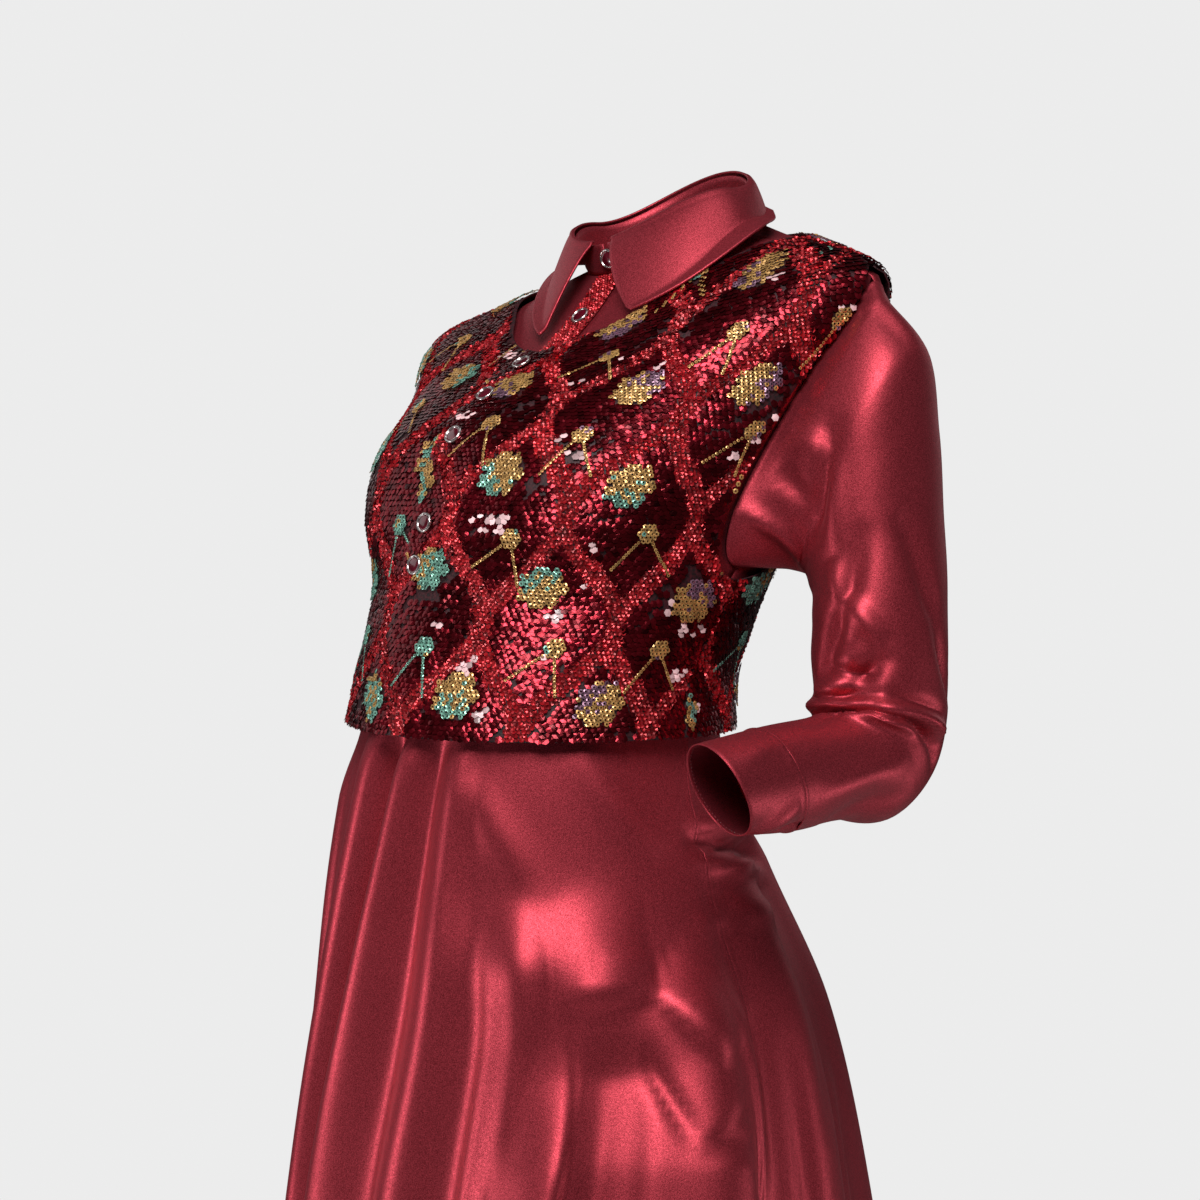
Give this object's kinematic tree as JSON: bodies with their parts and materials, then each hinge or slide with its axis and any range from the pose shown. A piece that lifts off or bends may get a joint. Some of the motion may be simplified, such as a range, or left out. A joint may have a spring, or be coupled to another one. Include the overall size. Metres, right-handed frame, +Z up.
{
  "type": "shirt dress with vest",
  "caption": "Long satin shirt dress with flared skirt, turned-down collar and cuffed sleeves under a short sequinned V-neck vest, hollow as worn.",
  "frame": {"origin": "middle of the neck opening at the height of the shoulder points, where the wearer holds the garment up", "axes": "+X towards the wearer's left, -Y towards the front, +Z up"},
  "size_m": [0.6658, 0.61, 1.415],
  "materials": {
    "satin": "soft silky satin with a fine grain, seams topstitched",
    "sequin_cloth": "mesh ground covered with overlapping sequins and small beads",
    "bead_band": "close rows of small bright red beads",
    "button": "dark glossy middle in a silver-coloured rim"
  },
  "bodies": {
    "root": {"bodice_front": "satin", "bodice_back": "satin", "skirt_front": "satin", "skirt_back": "satin", "sleeve_left": "satin", "cuff_left": "satin", "sleeve_right": "satin", "cuff_right": "satin", "collar_stand": "satin", "collar_leaf": "satin", "vest_front_right": "sequin_cloth", "vest_front_left": "sequin_cloth", "vest_back": "sequin_cloth", "placket": "bead_band", "button_collar": "button", "button_placket": "button", "button_vest_1": "button", "button_vest_2": "button", "button_vest_3": "button", "button_vest_4": "button", "button_vest_5": "button"}
  },
  "joints": []
}
